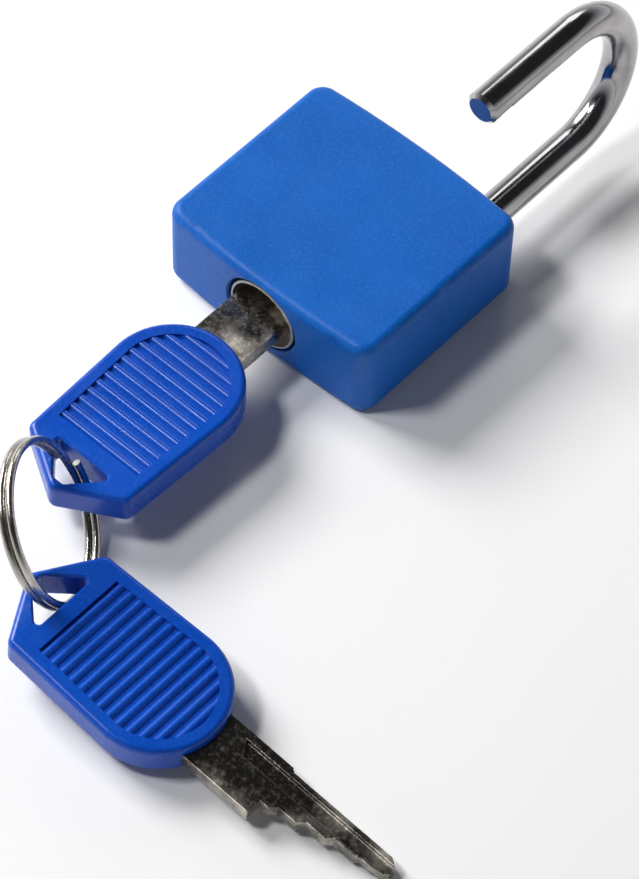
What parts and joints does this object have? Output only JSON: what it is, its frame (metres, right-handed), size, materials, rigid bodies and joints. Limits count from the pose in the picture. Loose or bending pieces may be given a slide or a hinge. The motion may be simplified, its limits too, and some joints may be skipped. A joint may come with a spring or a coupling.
{
  "type": "padlock",
  "caption": "Pin-tumbler padlock with a plastic jacket and an open swivelling shackle, a ribbed-head key in its keyway and a spare key on a split ring.",
  "frame": {"origin": "centre of the jacket's flat back face, which lies on the table", "axes": "+X across the body towards the shackle's long leg, +Y towards the shackle, +Z out of the back face and up through the body; the key enters along +Y"},
  "size_m": [0.0705, 0.1027, 0.0257],
  "materials": {
    "blue_shell": "fine matte moulded texture",
    "zinc": "as cast",
    "steel_plate": "stamped",
    "steel_screws": "plated",
    "steel_pin": "ground",
    "brass_cover": "stamped",
    "brass_pin": "turned",
    "spring_wire": "drawn wire",
    "plug_metal": "turned, dulled",
    "zinc_cam": "as cast",
    "steel_clip": "phosphated",
    "brass_bolt": "milled",
    "chrome_shackle": "polished",
    "key_steel": "nickel plated, tumbled",
    "blue_key": "moulded, semi-gloss",
    "ring_steel": "nickel plated"
  },
  "bodies": {
    "case": {"case_jacket": "blue_shell", "top_cap": "blue_shell", "lock_block": "zinc", "top_plate": "steel_plate", "top_plate_screws": "steel_screws", "shackle_retaining_pin": "steel_pin", "chamber_cover": "brass_cover", "driver_pin_1": "brass_pin", "driver_pin_2": "brass_pin", "driver_pin_3": "brass_pin", "driver_pin_4": "brass_pin", "pin_spring_1": "spring_wire", "pin_spring_2": "spring_wire", "pin_spring_3": "spring_wire", "pin_spring_4": "spring_wire", "shackle_spring": "spring_wire", "bolt_spring": "spring_wire"},
    "plug": {"cylinder_plug": "plug_metal", "cam_tail": "zinc_cam", "plug_clip": "steel_clip", "key_pin_1": "brass_pin", "key_pin_2": "brass_pin", "key_pin_3": "brass_pin", "key_pin_4": "brass_pin"},
    "bolt": {"bolt": "brass_bolt"},
    "spring_cup": {"spring_cup": "steel_pin"},
    "shackle": {"shackle": "chrome_shackle"},
    "key": {"key_blade": "key_steel", "key_head": "blue_key"},
    "ring": {"split_ring": "ring_steel"},
    "spare_key": {"spare_key_blade": "key_steel", "spare_key_head": "blue_key"}
  },
  "joints": [
    {"name": "shackle_lift", "type": "slide", "parent": "case", "child": "spring_cup", "axis": [0, 1, 0], "range_m": [-0.007, 0], "stiffness_N_per_m": 100, "springref_m": 0.004, "deforming": ["shackle_spring"]},
    {"name": "shackle_swing", "type": "hinge", "parent": "spring_cup", "child": "shackle", "pos_m": [0.009, 0.02, 0.00575], "axis": [0, 1, 0], "range_deg": [-85, 95]},
    {"name": "plug_turn", "type": "hinge", "parent": "case", "child": "plug", "pos_m": [0, -0.0112, 0.00575], "axis": [0, 1, 0], "range_deg": [0, 90]},
    {"name": "bolt_draw", "type": "slide", "parent": "case", "child": "bolt", "axis": [1, 0, 0], "range_m": [0, 0.00213], "deforming": ["bolt_spring"]},
    {"name": "key_draw", "type": "slide", "parent": "plug", "child": "key", "axis": [0, -1, 0], "range_m": [0, 0.025]},
    {"name": "ring_swing", "type": "hinge", "parent": "key", "child": "ring", "pos_m": [0, -0.0435, 0.00575], "axis": [0, 1, 0], "range_deg": [0, 60]},
    {"name": "spare_key_swing", "type": "hinge", "parent": "ring", "child": "spare_key", "pos_m": [0.0086, -0.0553, 0.0047], "axis": [1, 0, 0], "range_deg": [0, 60]}
  ],
  "couplings": [
    {"joint": "bolt_draw", "follows": "plug_turn", "m_per_rad": 0.00135}
  ]
}
